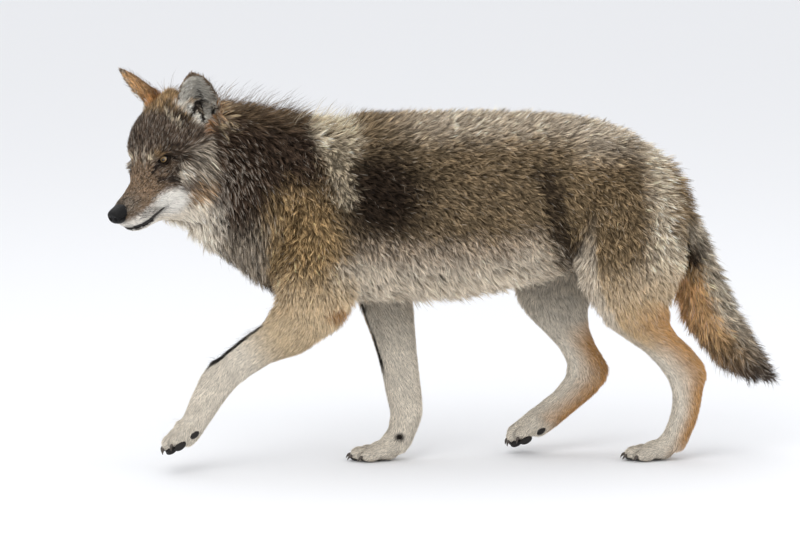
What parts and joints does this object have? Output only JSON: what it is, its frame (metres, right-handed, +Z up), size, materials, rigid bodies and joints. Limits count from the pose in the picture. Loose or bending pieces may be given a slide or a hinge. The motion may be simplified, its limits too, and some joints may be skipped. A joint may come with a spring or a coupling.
{
  "type": "grey wolf",
  "caption": "Still, life-size grey wolf in mid stride, with its head turned and lowered, its ears raised and its tail hanging.",
  "frame": {"origin": "on the floor, under the middle of the wolf's bounding box", "axes": "+Z up from the floor; the head points towards -X and the tail towards +X; the wolf's left side faces -Y"},
  "size_m": [1.3968, 0.3058, 0.8315],
  "materials": {
    "coat_grizzled": "grey-brown guard hair over pale underfur, matt",
    "coat_dark": "dark brown-black guard hair, matt",
    "coat_ochre": "ochre short hair, matt",
    "coat_cream": "cream short hair, matt",
    "coat_rust": "rust-brown hair, matt",
    "coat_face": "short grizzled hair, matt",
    "nose": "moist black skin, satin",
    "eye": "amber iris under a clear cornea, glossy"
  },
  "bodies": {
    "root": {"belly": "coat_grizzled", "chest": "coat_grizzled", "ear_left": "coat_rust", "ear_right": "coat_rust", "eye_left": "eye", "eye_right": "eye", "forearm_left": "coat_ochre", "forearm_right": "coat_ochre", "forefoot_left": "coat_cream", "forefoot_right": "coat_cream", "forepaw_left": "coat_cream", "forepaw_right": "coat_cream", "head": "coat_face", "hindfoot_left": "coat_cream", "hindfoot_right": "coat_cream", "hindpaw_left": "coat_cream", "hindpaw_right": "coat_cream", "lower_jaw": "coat_cream", "muzzle": "coat_face", "neck": "coat_dark", "nose": "nose", "rump": "coat_grizzled", "shank_left": "coat_ochre", "shank_right": "coat_ochre", "shoulder_left": "coat_grizzled", "shoulder_right": "coat_grizzled", "tail_base": "coat_rust", "tail_end": "coat_dark", "thigh_left": "coat_grizzled", "thigh_right": "coat_grizzled"}
  },
  "joints": []
}
